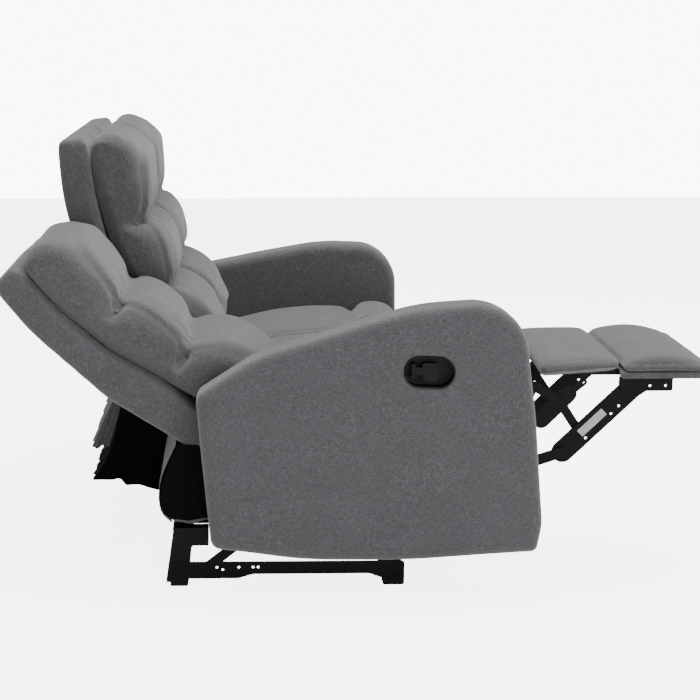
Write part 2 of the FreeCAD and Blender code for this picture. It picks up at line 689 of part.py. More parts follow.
def make_seat(name, centre_y, pose, shape=None):
    solid_part(name + "_seat_frame", shape or seat_frame_shape(), centre_y, pose * deck_pose())
    make_springs(name, centre_y, pose)
    cushion = loft_across(cushion_section, size("soft_width"))
    solid_part(name + "_seat_cushion", cushion, centre_y, pose * deck_pose())


# Back: an upholstered shell and a pillow in three sections, drawn upright
shell_outline = [(-717, 1026, 14), (-637, 1034, 14), (-630, 950, 500), (-620, 885, 300), (-605, 812, 300),
                 (-585, 742, 300), (-540, 652, 300), (-510, 576, 300), (-486, 468, 10), (-498, 421, 0),
                 (-489, 394, 10), (-545, 394, 14), (-592, 509, 60), (-652, 648, 200), (-706, 880, 500)]
gap_knots = [(421, -498), (468, -486), (576, -510), (652, -540), (742, -585), (812, -605), (885, -620),
             (950, -630), (1040, -637)]


def make_back_shell(label, centre_y, pose):
    shell = new_body(label)
    board = pad(shell, "board", corners(shell_outline), 0.0, size("back_width"), "sizes.back_width")
    doc.recompute()
    edge = size("back_width") / 2
    faces = ["Face%d" % (index + 1) for index, face in enumerate(board.Shape.Faces)
             if abs(face.CenterOfMass.y) > edge - 1]
    rounding = shell.newObject("PartDesign::Fillet", "edges")
    rounding.Base = (board, faces)
    rounding.Radius = size("shell_round")
    rounding.setExpression("Radius", "sizes.shell_round")
    place(shell, centre_y, pose)


def gap_line(z):
    # front of the shell at this height, where the pillow starts
    for (low, first), (high, second) in zip(gap_knots, gap_knots[1:]):
        if low <= z <= high:
            return first + (second - first) * (z - low) / (high - low)
    return gap_knots[0][1] if z < gap_knots[0][0] else gap_knots[-1][1]


pillow_front = [(-628, 1002, "line"), (-618, 1032, "arc"), (-584, 1045, "line"), (-516, 1022, "arc"),
                (-483, 946, "line"), (-478, 885, "arc"), (-492, 818, "line"), (-444, 786, "arc"),
                (-418, 725, "line"), (-417, 676, "arc"), (-443, 634, "line"), (-366, 617, "arc"),
                (-309, 541, "line"), (-286, 468, "arc"), (-318, 401, "line")]
pillow_rear = [(-462, 497), (-508, 576), (-538, 652), (-583, 742), (-603, 812), (-618, 885), (-628, 950)]


def pillow_section(across, share):
    points = []
    for x, z, kind in pillow_front:
        rear = gap_line(z) + 4
        depth = 0.60 + 0.40 * share if z > 560 else 0.80 + 0.20 * share
        drop = (1 - share) * 12 if z > 900 else 0.0
        points.append((rear + (x - rear) * depth, z - drop, kind))
    points += [(x, z, "line") for x, z in pillow_rear]
    return outline_wire(points, lambda x, z: V(x, across, z))


def make_back_pillow(label, centre_y, pose):
    solid_part(label, loft_across(pillow_section, size("soft_width")), centre_y, pose)


def make_back_brackets(label, centre_y, pose, reclines):
    # the flag's rear edge lies on the front face of the shell; a fixed back's bracket runs down to the side rail
    layer = swing_layer if reclines else plate_layer
    brackets = new_body(label)
    features = chain(brackets, "arm", [back_pivot, (-440, 427)], 15.0, layer)
    outline = corners([(-498, 421, 0), (-430, 412, 0), (-434, 446, 10), (-486, 468, 0)])
    features.append(pad(brackets, "flag", outline, -layer, size("bracket_thick"), "sizes.bracket_thick"))
    if reclines:
        features.append(eye(brackets, "eye", back_pivot, layer))
    else:
        features += chain(brackets, "leg", [back_pivot, (-346, 300), (-340, 262), (-300, 205)], 13.0, layer)
    both_sides(brackets, features)
    place(brackets, centre_y, pose)


def make_back(name, centre_y, pose, reclines=True):
    make_back_shell(name + "_back_shell", centre_y, pose)
    make_back_pillow(name + "_back_pillow", centre_y, pose)
    make_back_brackets(name + "_back_brackets", centre_y, pose, reclines)


# Rear curtain: hanging cloth below the back, with a gusset at each side
closed_curtain = [(-524, 392.1), (-558, 370), (-581, 326), (-594, 268), (-603, 214), (-617, 175), (-645, 130)]
open_curtain = [(-396.7, 347), (-419, 304), (-434, 268), (-441, 231), (-440, 198), (-432, 176), (-404, 159), (-350, 166)]


def curtain_wire(points, across, shift_x):
    thick = size("curtain_thick")
    left, right = [], []
    for index, (x, z) in enumerate(points):
        before = points[max(index - 1, 0)]
        after = points[min(index + 1, len(points) - 1)]
        along = V(after[0] - before[0], 0, after[1] - before[1]).normalize()
        normal = V(-along.z, 0, along.x) * (thick / 2)
        middle = V(x + shift_x * index / len(points), across, z)
        left.append(middle + normal)
        right.append(middle - normal)
    loop = left + right[::-1]
    return Part.makePolygon(loop + [loop[0]])


def curtain_cloth(points):
    half = half_width - 4.7
    folds = 8
    wires = []
    for step in range(2 * folds + 1):
        across = -half + step * half / folds
        wave = size("curtain_fold") * (1 if step % 2 else -1)
        wires.append(curtain_wire(points, across, wave))
    return Part.makeLoft(wires, True, True)


def gusset_shape(points, front):
    # a flat side panel between the curtain's edge and the seat
    outline = [V(x + size("curtain_thick"), 0, z) for x, z in points if z > front[0][1] - 60] + [V(x, 0, z) for x, z in front]
    face = Part.Face(Part.makePolygon(outline + [outline[0]]))
    return face.extrude(V(0, 2.5, 0))


def add_curtain(label, centre_y, points, front, pose=None):
    curtain = curtain_cloth(points)
    near_side = gusset_shape(points, front).translated(V(0, -half_width + 2, 0))
    far_side = gusset_shape(points, front).translated(V(0, half_width - 4.5, 0))
    solid_part(label, Part.makeCompound([curtain, near_side, far_side]), centre_y, pose)


# Arm: a padded panel with a rounded top and front
arm_outline = [(-530, 126, 24), (-527, 487, 32), (-376, 564, 260), (-11, 634, 600), (240, 628, 124),
               (244, 330, 2500), (238, 100, 120), (219, 36, 14), (-100, 49, 1200), (-330, 79, 1000)]


def handle_frame():
    return FreeCAD.Placement(V(size("handle_x"), 0, size("handle_z")),
                             FreeCAD.Rotation(V(0, -1, 0), -size("handle_lean")))


def handle_spot(x, z):
    spot = handle_frame().multVec(V(x, 0, z))
    return (spot.x, spot.z)


def make_arm(name, centre_y, side, pose):
    arm = new_body(name + "_arm")
    middle = side * (half_width + size("arm_width") / 2)
    pad(arm, "panel", corners(arm_outline), middle, size("arm_width"), "sizes.arm_width")
    doc.recompute()
    panel = arm.Tip
    faces = ["Face%d" % (index + 1) for index, face in enumerate(panel.Shape.Faces)
             if abs(abs(face.CenterOfMass.y - middle) - size("arm_width") / 2) < 1]
    rounding = arm.newObject("PartDesign::Fillet", "soft_edges")
    rounding.Base = (panel, faces)
    rounding.Radius = size("arm_edge_round")
    rounding.setExpression("Radius", "sizes.arm_edge_round")
    doc.recompute()
    radius = size("handle_height") / 2 + 0.3
    reach = size("handle_length") / 2 - size("handle_height") / 2
    outer = half_width + size("arm_width")
    depth = size("handle_depth") + 0.3
    hole = slot(handle_spot(-reach, 0), handle_spot(reach, 0), radius)
    pocket(arm, "handle_hole", hole, side * outer, 2 * depth)
    place(arm, centre_y, pose)


def make_handle(name, centre_y, side, pose):
    outer = half_width + size("arm_width")
    reach = size("handle_length") / 2 - size("handle_height") / 2
    radius, wall, depth = size("handle_height") / 2, size("handle_wall"), size("handle_depth")
    cup = new_body(name + "_handle_cup")
    ends = (handle_spot(-reach, 0), handle_spot(reach, 0))
    pad(cup, "wall", slot(ends[0], ends[1], radius), side * (outer - depth / 2), depth, "sizes.handle_depth")
    pocket(cup, "hollow", slot(ends[0], ends[1], radius - wall), side * outer, 2 * (depth - wall))
    hinge_x = -37.0
    ear = 7.0
    ear_high = corners([(*handle_spot(hinge_x - 5, 9.5), 0), (*handle_spot(hinge_x + 5, 9.5), 0),
                        (*handle_spot(hinge_x + 5, 9.5 + ear), 0), (*handle_spot(hinge_x - 5, 9.5 + ear), 0)])
    ear_low = corners([(*handle_spot(hinge_x - 5, -9.5 - ear), 0), (*handle_spot(hinge_x + 5, -9.5 - ear), 0),
                       (*handle_spot(hinge_x + 5, -9.5), 0), (*handle_spot(hinge_x - 5, -9.5), 0)])
    ear_depth = depth - wall - 5
    ear_middle = outer - 5 - ear_depth / 2
    pad(cup, "high_ear", ear_high, side * ear_middle, ear_depth)
    pad(cup, "low_ear", ear_low, side * ear_middle, ear_depth)
    doc.recompute()
    place(cup, centre_y, pose)

    paddle_middle = side * (outer - 5 - size("paddle_thick") / 2)
    paddle = new_body(name + "_release_handle")
    stem = corners([(*handle_spot(hinge_x - 3, -8.8), 1), (*handle_spot(-14, -8.8), 0), (*handle_spot(-14, 8.8), 0),
                    (*handle_spot(hinge_x - 3, 8.8), 1)])
    block = corners([(*handle_spot(-16, -12), 5), (*handle_spot(-8, -22), 4), (*handle_spot(14, -22), 5),
                     (*handle_spot(20, -15), 4), (*handle_spot(20, 20), 3), (*handle_spot(-16, 20), 4)])
    pad(paddle, "stem", stem, paddle_middle, size("paddle_thick") * 0.6)
    pad(paddle, "block", block, paddle_middle, size("paddle_thick"), "sizes.paddle_thick")
    place(paddle, centre_y, pose)
    return hinge_x


def make_label(name, centre_y, pose):
    centre = added(tail_open, turned((98.0, 3.5), ottoman_lean))
    thick = size("label_thick")
    face = ottoman_layer + size("plate_thick") / 2
    long, short = size("label_long"), size("label_short")
    box = Part.makeBox(long, thick, short, V(-long / 2, -face - thick, -short / 2))
    label_pose = FreeCAD.Placement(V(centre[0], 0, centre[1]), FreeCAD.Rotation(V(0, -1, 0), ottoman_lean))
    solid_part(name + "_blank_label", box, centre_y, pose * label_pose)


still = FreeCAD.Placement()


def make_end_seat(name, side, is_open):
    centre_y = side * size("seat_pitch")
    pose = seat_pose if is_open else still
    make_base(name, centre_y)
    make_swing_links(name, centre_y, is_open)
    make_side_plates(name, centre_y, pose)
    ottoman_pose = make_footrest_links(name, centre_y, is_open, pose)
    make_footrest(name, centre_y, footrest_pose(is_open, pose))
    make_seat(name, centre_y, pose)
    back_pose = pose * swing(back_pivot, size("recline_angle")) if is_open else still
    make_back(name, centre_y, back_pose)
    make_arm(name, centre_y, side, pose)
    make_handle(name, centre_y, side, pose)
    if is_open:
        add_curtain(name + "_rear_curtain", centre_y, open_curtain, [(-338, 180), (-338, 292), (-368, 312)])
        make_label(name, centre_y, ottoman_pose)
    else:
        add_curtain(name + "_rear_curtain", centre_y, closed_curtain, [(-440, 110), (-440, 372), (-515, 388)])


# Middle seat: the same cushion, back and front on four legs, tied to both end seats
def make_middle():
    # blocks on the front ends of the side rails carry the fixed front panel
    clear = half_width - size("side_rail_thick")
    blocks = []
    for low in (clear, -half_width):
        block = Part.makeBox(86, size("side_rail_thick"), 85, V(size("board_back") - 86, low, 215))
        block.Placement = deck_pose().inverse() * block.Placement
        blocks.append(block)
    for low in (half_width - 50, -half_width):
        reach = 86 + inner_board_lift(size("board_top") - 300) - 0.2
        tongue = Part.makeBox(reach, 50, 45, V(size("board_back") - 86, low, 255))
        tongue.Placement = deck_pose().inverse() * tongue.Placement
        blocks.append(tongue)
    make_seat("middle", 0.0, still, seat_frame_shape().fuse(blocks).removeSplitter())
    make_back("middle", 0.0, still, reclines=False)
    width = size("board_width") + 8
    pads = [loft_across(inner_pad_section, width), loft_across(outer_pad_section, width)]
    solid_part("middle_front_panel", Part.makeCompound(footrest_boards() + pads), 0.0)
    add_curtain("middle_rear_curtain", 0.0, closed_curtain, [(-340, 110), (-340, 300), (-475, 380)])

    # legs stand inside the side rails, tie bars run from one end seat's base to the other
    side, width = size("middle_leg"), size("tie_width")
    rail_low = size("deck_z") - size("side_rail_height") * math.cos(math.radians(size("deck_pitch")))
    reach = size("seat_pitch") - rail_layer - size("rail_web") / 2
    pieces = []
    for x in (size("rail_front") - size("foot_length") - 40, -301.0):
        top = rail_low + (x - size("deck_x")) * math.tan(math.radians(size("deck_pitch"))) + 40
        for hand in (-1, 1):
            middle = hand * (clear - side / 2)
            pieces.append(Part.makeBox(side, side, top, V(x - side / 2, middle - side / 2, 0)))
        low = size("rail_bottom") + size("rail_web") + 2
        pieces.append(Part.makeBox(width, 2 * reach, size("tie_height"), V(x - width / 2, -reach, low)))
    solid_part("middle_base", pieces[0].fuse(pieces[1:]), 0.0)


make_end_seat("near", -1, True)
make_end_seat("far", 1, False)
make_middle()
doc.recompute()

problems = []
for item in doc.Objects:
    if "Invalid" in item.State or "Error" in item.State:
        problems.append("%s is %s" % (item.Name, item.State))
for item in parts:
    if item.Shape.isNull() or not item.Shape.isValid() or not item.Shape.Solids:
        problems.append("%s has no valid shape" % item.Label)
if problems:
    raise RuntimeError("; ".join(problems))

os.makedirs("parts", exist_ok=True)
for item in parts:
    item.Shape.exportStep("parts/%s.step" % item.Label)
print("%d parts" % len(parts))
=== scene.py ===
import math

import bmesh
import bpy
import numpy as np
from mathutils import Matrix, Vector, noise
from mathutils.bvhtree import BVHTree


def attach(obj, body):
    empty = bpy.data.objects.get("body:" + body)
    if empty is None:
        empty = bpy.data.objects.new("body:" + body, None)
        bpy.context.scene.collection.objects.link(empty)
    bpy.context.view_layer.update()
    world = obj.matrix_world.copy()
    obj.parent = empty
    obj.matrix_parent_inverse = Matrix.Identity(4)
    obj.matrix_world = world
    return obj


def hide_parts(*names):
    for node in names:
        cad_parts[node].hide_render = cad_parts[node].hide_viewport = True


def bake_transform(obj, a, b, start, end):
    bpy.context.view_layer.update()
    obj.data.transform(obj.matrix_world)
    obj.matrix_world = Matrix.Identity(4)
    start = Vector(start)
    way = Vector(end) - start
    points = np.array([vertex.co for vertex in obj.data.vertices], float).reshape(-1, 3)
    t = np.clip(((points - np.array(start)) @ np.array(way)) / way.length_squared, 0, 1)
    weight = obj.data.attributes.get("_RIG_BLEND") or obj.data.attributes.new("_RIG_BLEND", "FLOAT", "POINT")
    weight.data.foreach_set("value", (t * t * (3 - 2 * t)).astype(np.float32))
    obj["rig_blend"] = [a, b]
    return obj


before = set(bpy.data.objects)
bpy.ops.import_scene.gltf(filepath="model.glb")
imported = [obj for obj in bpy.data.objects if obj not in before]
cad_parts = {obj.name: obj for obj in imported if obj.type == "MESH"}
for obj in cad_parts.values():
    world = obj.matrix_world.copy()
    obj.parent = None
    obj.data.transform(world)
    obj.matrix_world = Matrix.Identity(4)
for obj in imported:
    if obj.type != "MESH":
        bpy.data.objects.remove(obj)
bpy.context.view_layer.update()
scene = bpy.context.scene


# Materials are node trees. Colours are written as sRGB hex, and pattern sizes are real millimetres.
def linear(code):
    channels = [int(code[i:i + 2], 16) / 255 for i in (1, 3, 5)]
    return [c / 12.92 if c <= 0.04045 else ((c + 0.055) / 1.055) ** 2.4 for c in channels] + [1.0]


def add_node(tree, kind, inputs=None, **settings):
    made = tree.nodes.new(kind)
    for key, value in settings.items():
        setattr(made, key, value)
    for key, value in (inputs or {}).items():
        if isinstance(value, bpy.types.NodeSocket):
            tree.links.new(value, made.inputs[key])
        else:
            made.inputs[key].default_value = value
    return made


def new_material(name, **surface):
    material = bpy.data.materials.new(name)
    material.use_nodes = True
    tree = material.node_tree
    shader = tree.nodes["Principled BSDF"]
    for key, value in surface.items():
        shader.inputs[key.replace("_", " ")].default_value = value
    return material, tree, shader


def stretched_noise(tree, place, along, size, detail=2.0):
    # noise with streaks along one axis; size is the width of a streak in mm
    scale = [1000.0 / size] * 3
    scale[along] /= 5.0
    spot = add_node(tree, "ShaderNodeMapping", {"Vector": place, "Scale": scale})
    return add_node(tree, "ShaderNodeTexNoise", {"Vector": spot.outputs[0], "Scale": 1.0, "Detail": detail,
                                                 "Roughness": 0.6}).outputs["Fac"]


def noise_of(tree, place, scale, detail):
    noise_node = add_node(tree, "ShaderNodeTexNoise", {"Vector": place, "Scale": scale, "Detail": detail})
    return noise_node.outputs["Fac"]


def math_node(tree, operation, first, second=0.0):
    return add_node(tree, "ShaderNodeMath", {0: first, 1: second}, operation=operation).outputs[0]


def ramp(tree, factor, stops):
    made = add_node(tree, "ShaderNodeValToRGB", {"Fac": factor})
    elements = made.color_ramp.elements
    while len(elements) < len(stops):
        elements.new(0.5)
    for element, (position, code) in zip(elements, stops):
        element.position = position
        element.color = linear(code)
    return made.outputs["Color"]


# Upholstery: heathered plain weave, threads 1.5 mm apart, with short darker and lighter slubs
def heathered(name, dark, middle, light):
    material, tree, shader = new_material(name, Roughness=0.93, Sheen_Weight=0.25, Sheen_Roughness=0.5)
    place = add_node(tree, "ShaderNodeAttribute", attribute_name="cloth").outputs["Vector"]
    slubs = [stretched_noise(tree, place, axis, 2.2) for axis in range(3)]
    flecks = math_node(tree, "ADD", math_node(tree, "ADD", slubs[0], slubs[1]), slubs[2])
    fine = noise_of(tree, place, 420.0, 1.0)
    broad = noise_of(tree, place, 14.0, 3.0)
    mixed = math_node(tree, "ADD", math_node(tree, "MULTIPLY", flecks, 0.26),
                      math_node(tree, "ADD", math_node(tree, "MULTIPLY", fine, 0.12),
                                math_node(tree, "MULTIPLY", broad, 0.05)))
    colour = ramp(tree, mixed, [(0.37, dark), (0.47, middle), (0.57, light)])
    tree.links.new(colour, shader.inputs["Base Color"])
    threads = []
    for axis in ("X", "Y", "Z"):
        wave = add_node(tree, "ShaderNodeTexWave", {"Vector": place, "Scale": 105.0, "Distortion": 1.5,
                                                    "Detail": 1.0}, bands_direction=axis)
        threads.append(wave.outputs["Fac"])
    weave = math_node(tree, "ADD", math_node(tree, "ADD", threads[0], threads[1]), threads[2])
    height = math_node(tree, "ADD", math_node(tree, "MULTIPLY", weave, 0.35), mixed)
    bump = add_node(tree, "ShaderNodeBump", {"Height": height, "Strength": 0.5, "Distance": 0.0012})
    tree.links.new(bump.outputs[0], shader.inputs["Normal"])
    return material


# Lining: thin black non-woven cloth with a faint pressed grid and a little sheen
def lining(name, code):
    material, tree, shader = new_material(name, Roughness=0.95, Specular_IOR_Level=0.15)
    place = add_node(tree, "ShaderNodeAttribute", attribute_name="cloth").outputs["Vector"]
    dots = add_node(tree, "ShaderNodeTexVoronoi", {"Vector": place, "Scale": 330.0}).outputs["Distance"]
    tree.links.new(ramp(tree, dots, [(0.0, code), (1.0, "#050506")]), shader.inputs["Base Color"])
    bump = add_node(tree, "ShaderNodeBump", {"Height": dots, "Strength": 0.25, "Distance": 0.0004})
    tree.links.new(bump.outputs[0], shader.inputs["Normal"])
    return material


# Steel with a satin powder coat, with a painted highlight that makes it paler at its convex rims
def coated_steel(name):
    material, tree, shader = new_material(name, Roughness=0.5, Specular_IOR_Level=0.12)
    place = add_node(tree, "ShaderNodeTexCoord").outputs["Object"]
    orange_peel = noise_of(tree, place, 650.0, 2.0)
    patches = noise_of(tree, place, 18.0, 4.0)
    # painted highlight: the convex rims, found by pointiness, are coloured paler; tone mixes this with random patches
    # of the coat
    painted_rim_highlight = add_node(tree, "ShaderNodeNewGeometry").outputs["Pointiness"]
    tone = math_node(tree, "ADD", math_node(tree, "MULTIPLY", patches, 0.4),
                     math_node(tree, "MULTIPLY", painted_rim_highlight, 0.6))
    tree.links.new(ramp(tree, tone, [(0.35, "#010102"), (0.75, "#040405")]), shader.inputs["Base Color"])
    gloss = math_node(tree, "ADD", math_node(tree, "MULTIPLY", patches, 0.2), 0.40)
    tree.links.new(gloss, shader.inputs["Roughness"])
    bump = add_node(tree, "ShaderNodeBump", {"Height": orange_peel, "Strength": 0.25, "Distance": 0.0003})
    tree.links.new(bump.outputs[0], shader.inputs["Normal"])
    return material


# Moulded plastic: fine grained skin
def moulded(name, dark, light, roughness):
    material, tree, shader = new_material(name, Roughness=roughness, Specular_IOR_Level=0.15)
    place = add_node(tree, "ShaderNodeTexCoord").outputs["Object"]
    grain = add_node(tree, "ShaderNodeTexVoronoi", {"Vector": place, "Scale": 900.0}).outputs["Distance"]
    cloud = noise_of(tree, place, 30.0, 3.0)
    tree.links.new(ramp(tree, cloud, [(0.3, dark), (0.7, light)]), shader.inputs["Base Color"])
    bump = add_node(tree, "ShaderNodeBump", {"Height": grain, "Strength": 0.2, "Distance": 0.0003})
    tree.links.new(bump.outputs[0], shader.inputs["Normal"])
    return material


# Sawn softwood: growth rings stretched along the board, finer pores between them
def sawn_wood(name, dark, light):
    material, tree, shader = new_material(name, Roughness=0.7)
    place = add_node(tree, "ShaderNodeTexCoord").outputs["Object"]
    spot = add_node(tree, "ShaderNodeMapping", {"Vector": place, "Scale": (2.0, 12.0, 30.0)}).outputs[0]
    waves = add_node(tree, "ShaderNodeTexWave", {"Vector": spot, "Scale": 1.6, "Distortion": 6.0,
                                                "Detail": 3.0},
                     bands_direction="Z")
    rings = waves.outputs["Fac"]
    pores = stretched_noise(tree, place, 0, 0.8)
    tone = math_node(tree, "ADD", math_node(tree, "MULTIPLY", rings, 0.6),
                     math_node(tree, "MULTIPLY", pores, 0.4))
    tree.links.new(ramp(tree, tone, [(0.2, light), (0.8, dark)]), shader.inputs["Base Color"])
    bump = add_node(tree, "ShaderNodeBump", {"Height": pores, "Strength": 0.2, "Distance": 0.0004})
    tree.links.new(bump.outputs[0], shader.inputs["Normal"])
    return material


# Drawn spring wire: bare steel with fine lengthwise marks
def drawn_wire(name):
    material, tree, shader = new_material(name, Metallic=1.0, Roughness=0.35)
    place = add_node(tree, "ShaderNodeTexCoord").outputs["Object"]
    marks = stretched_noise(tree, place, 1, 0.3)
    tree.links.new(ramp(tree, marks, [(0.3, "#55555a"), (0.7, "#7c7c80")]), shader.inputs["Base Color"])
    gloss = math_node(tree, "ADD", math_node(tree, "MULTIPLY", marks, 0.25), 0.25)
    tree.links.new(gloss, shader.inputs["Roughness"])
    return material


upholstery = heathered("upholstery_cloth", "#373538", "#464447", "#59575b")
black_lining = lining("black_lining", "#020203")
steel = coated_steel("black_steel")
plastic = moulded("black_plastic", "#010102", "#040405", 0.55)
handle_plastic = moulded("handle_plastic", "#020203", "#060607", 0.5)
pine = sawn_wood("pine", "#8a6a44", "#c09a68")
stained_wood = sawn_wood("stained_wood", "#060607", "#0e0d0d")
wire = drawn_wire("spring_wire")
label_film = moulded("label_film", "#a4a4a8", "#b6b6ba", 0.35)

for slot_material, endings in (
        (steel, ("base_rails", "cross_tubes", "links", "side_plates", "brackets")),
        (plastic, ("posts", "feet")),
        (handle_plastic, ("handle_cup", "release_handle")),
        (pine, ("seat_frame",)), (stained_wood, ("middle_base",)), (wire, ("springs",)),
        (label_film, ("blank_label",))):
    for node_name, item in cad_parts.items():
        if node_name.endswith(endings):
            item.data.materials.clear()
            item.data.materials.append(slot_material)


# Poses of the open seat. The closed seats' pieces are shaped once and set down in each seat.
def turn(degrees, x, z):
    # turns by this angle from +X towards +Z about the point (x, z)
    pivot = Matrix.Translation((x, 0, z))
    return pivot @ Matrix.Rotation(math.radians(-degrees), 4, "Y") @ pivot.inverted()


open_seat = Matrix.Translation((0.222, 0, 0.052)) @ turn(6.0, -0.016, 0.0)
open_back = open_seat @ turn(29.0, -0.3775, 0.401)
open_footrest = open_seat @ Matrix.Translation((0.494 - 0.2266, 0, 0.366 - 0.215)) @ turn(84.0, 0.2106, 0.215)
seats = {"near": -0.52, "middle": 0.0, "far": 0.52}


# Tools for padded pieces: a piece starts from its solid as a fine even mesh
def merged(node_name, low=None, high=None):
    # one node's mesh, or only its part above or below this height
    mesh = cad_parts[node_name].data.copy()
    shape = bmesh.new()
    shape.from_mesh(mesh)
    outside = [point for point in shape.verts if (low is not None and point.co.z < low)
               or (high is not None and point.co.z > high)]
    bmesh.ops.delete(shape, geom=outside, context="VERTS")
    bmesh.ops.remove_doubles(shape, verts=shape.verts, dist=1e-5)
    shape.to_mesh(mesh)
    shape.free()
    mesh.materials.clear()
    return mesh


def new_piece(name, mesh):
    piece = bpy.data.objects.new(name, mesh)
    scene.collection.objects.link(piece)
    return piece


def with_modifiers(piece):
    # the piece's mesh with its modifiers applied
    bpy.context.view_layer.update()
    evaluated = piece.evaluated_get(bpy.context.evaluated_depsgraph_get())
    mesh = bpy.data.meshes.new_from_object(evaluated)
    piece.modifiers.clear()
    piece.data = mesh
    return piece


def points_of(piece):
    points = np.empty(len(piece.data.vertices) * 3)
    piece.data.vertices.foreach_get("co", points)
    return points.reshape(-1, 3)


def normals_of(piece):
    normals = np.empty(len(piece.data.vertices) * 3)
    piece.data.vertices.foreach_get("normal", normals)
    return normals.reshape(-1, 3)


def set_points(piece, points):
    piece.data.vertices.foreach_set("co", np.ascontiguousarray(points, dtype=np.float32).ravel())
    piece.data.update()


def eased(piece, rounds):
    # evens the surface out by drawing each point towards the middle of its neighbours
    edges = np.empty(len(piece.data.edges) * 2, dtype=np.int64)
    piece.data.edges.foreach_get("vertices", edges)
    first, second = edges[::2], edges[1::2]
    points = points_of(piece)
    count = np.zeros(len(points))
    np.add.at(count, first, 1)
    np.add.at(count, second, 1)
    for step in range(rounds):
        total = np.zeros_like(points)
        np.add.at(total, first, points[second])
        np.add.at(total, second, points[first])
        points = points * 0.4 + total / count[:, None] * 0.6
    set_points(piece, points)


def swell(piece, most):
    # blows the cover up like a filled cushion and lets no point move further than this
    rest = points_of(piece)
    cloth = piece.modifiers.new("cloth", "CLOTH")
    cloth.settings.use_pressure = True
    cloth.settings.uniform_pressure_force = 4.0
    cloth.settings.effector_weights.gravity = 0.0
    for number in range(1, 21):
        scene.frame_set(number)
    with_modifiers(piece)
    scene.frame_set(1)
    move = points_of(piece) - rest
    length = np.linalg.norm(move, axis=1)
    set_points(piece, rest + move * np.minimum(1.0, most / np.maximum(length, 1e-9))[:, None])


def keep_within(piece, solid_mesh, room, slack=0.0025):
    # holds each point near the solid's skin: out by the room that this normal leaves, in by the slack
    solid = new_piece("guide", solid_mesh)
    tree = BVHTree.FromObject(solid, bpy.context.evaluated_depsgraph_get())
    points = points_of(piece)
    for index, point in enumerate(points):
        spot, normal, face, distance = tree.find_nearest(Vector(point))
        proud = (Vector(point) - spot).dot(normal)
        allowed = room(normal)
        if proud > allowed or proud < -slack:
            points[index] = spot + normal * (allowed if proud > allowed else -slack)
    set_points(piece, points)
    bpy.data.objects.remove(solid)


def joined(first, second):
    # both closed shapes in one mesh; the remesh makes one skin of them
    shape = bmesh.new()
    shape.from_mesh(first)
    shape.from_mesh(second)
    shape.to_mesh(first)
    shape.free()
    return first


def padded_form(name, solid, room, voxel=0.010, shrink=0.007, most=0.024):
    piece = new_piece(name, solid.copy())
    remesh = piece.modifiers.new("remesh", "REMESH")
    remesh.mode = "VOXEL"
    remesh.voxel_size = voxel
    with_modifiers(piece)
    eased(piece, 2)
    set_points(piece, points_of(piece) - normals_of(piece) * shrink)
    swell(piece, most)
    keep_within(piece, solid, room)
    eased(piece, 2)
    finer = piece.modifiers.new("finer", "SUBSURF")
    finer.levels = finer.render_levels = 1
    with_modifiers(piece)
    return piece


def keep_cloth(piece, shift_y=0.0):
    # remembers where each point of the cloth lies before the piece is set down, for the weave
    points = points_of(piece) - np.array([0.0, shift_y, 0.0])
    attributes = piece.data.attributes
    attribute = attributes.get("cloth") or attributes.new("cloth", "FLOAT_VECTOR", "POINT")
    attribute.data.foreach_set("vector", points.astype(np.float32).ravel())


def set_down(form, name, shift_y, pose, body, node_name):
    piece = new_piece(name, form.data.copy())
    piece.data.transform(Matrix.Translation((0, shift_y, 0)) @ (pose or Matrix.Identity(4)))
    piece.data.materials.clear()
    piece.data.materials.append(upholstery)
    for face in piece.data.polygons:
        face.use_smooth = True
    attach(piece, body)
    if node_name:
        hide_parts(node_name)
    return piece


def hashed_wave(value, seed):
    # an uneven wave along one direction, the same on each run
    total = np.zeros_like(value)
    for index, (length, share) in enumerate(((0.113, 1.0), (0.067, 0.8), (0.041, 0.5), (0.0247, 0.2))):
        phase = math.sin(seed * 12.9898 + index * 78.233) * 43758.5453
        total += share * np.sin(value / length * 2 * math.pi + phase)
    return total / 2.3


def pull_in(piece, seams, depth, reach, half_width, seed):
    # a sewn crease: the cover is drawn in along a line across the seat and on into both sides, and the
    # cloth puckers beside it; each seam is where it lies in the side view and the way it runs inwards
    points = points_of(piece)
    normals = normals_of(piece)
    ends = np.clip(np.abs(points[:, 1]) / half_width, 0, 1) ** 6
    for number, (x, z, inward_x, inward_z) in enumerate(seams):
        along = (points[:, 0] - x) * inward_x + (points[:, 2] - z) * inward_z
        along = np.clip(along, 0, 0.05 * ends)
        away = np.hypot(points[:, 0] - x - along * inward_x, points[:, 2] - z - along * inward_z)
        near = np.exp(-away / reach) * (1 - ends * along / 0.055)
        beside = (away / 0.022) * np.exp(1 - away / 0.022)
        pleats = hashed_wave(points[:, 1] + 0.010 * np.sin(away * 60 + seed), seed + number)
        angle = np.arctan2(points[:, 2] - z, points[:, 0] - x)
        gathers = np.sin(angle * 9 + seed) * ends * np.exp(-away / 0.035)
        inset = depth * (1 - 0.3 * ends) * near + 0.0026 * pleats * beside * (1 - ends) + 0.0016 * gathers
        points -= normals * inset[:, None]
    set_points(piece, points)


def uneven(piece, height, length, seed):
    # the slight unevenness of wadding under a cover
    points = points_of(piece)
    normals = normals_of(piece)
    offset = Vector((seed * 1.7, seed * 0.9, seed * 2.3))
    rise = np.array([noise.noise(Vector(point) / length + offset) for point in points])
    set_points(piece, points + normals * (rise * height)[:, None])


# Back pillows: three rolls, fullest in the middle of the seat, sewn down between the rolls
def pillow_room(normal):
    if abs(normal.y) > 0.75:
        return 0.001
    return 0.007 if normal.x > 0.15 or normal.z > 0.6 else -0.0005


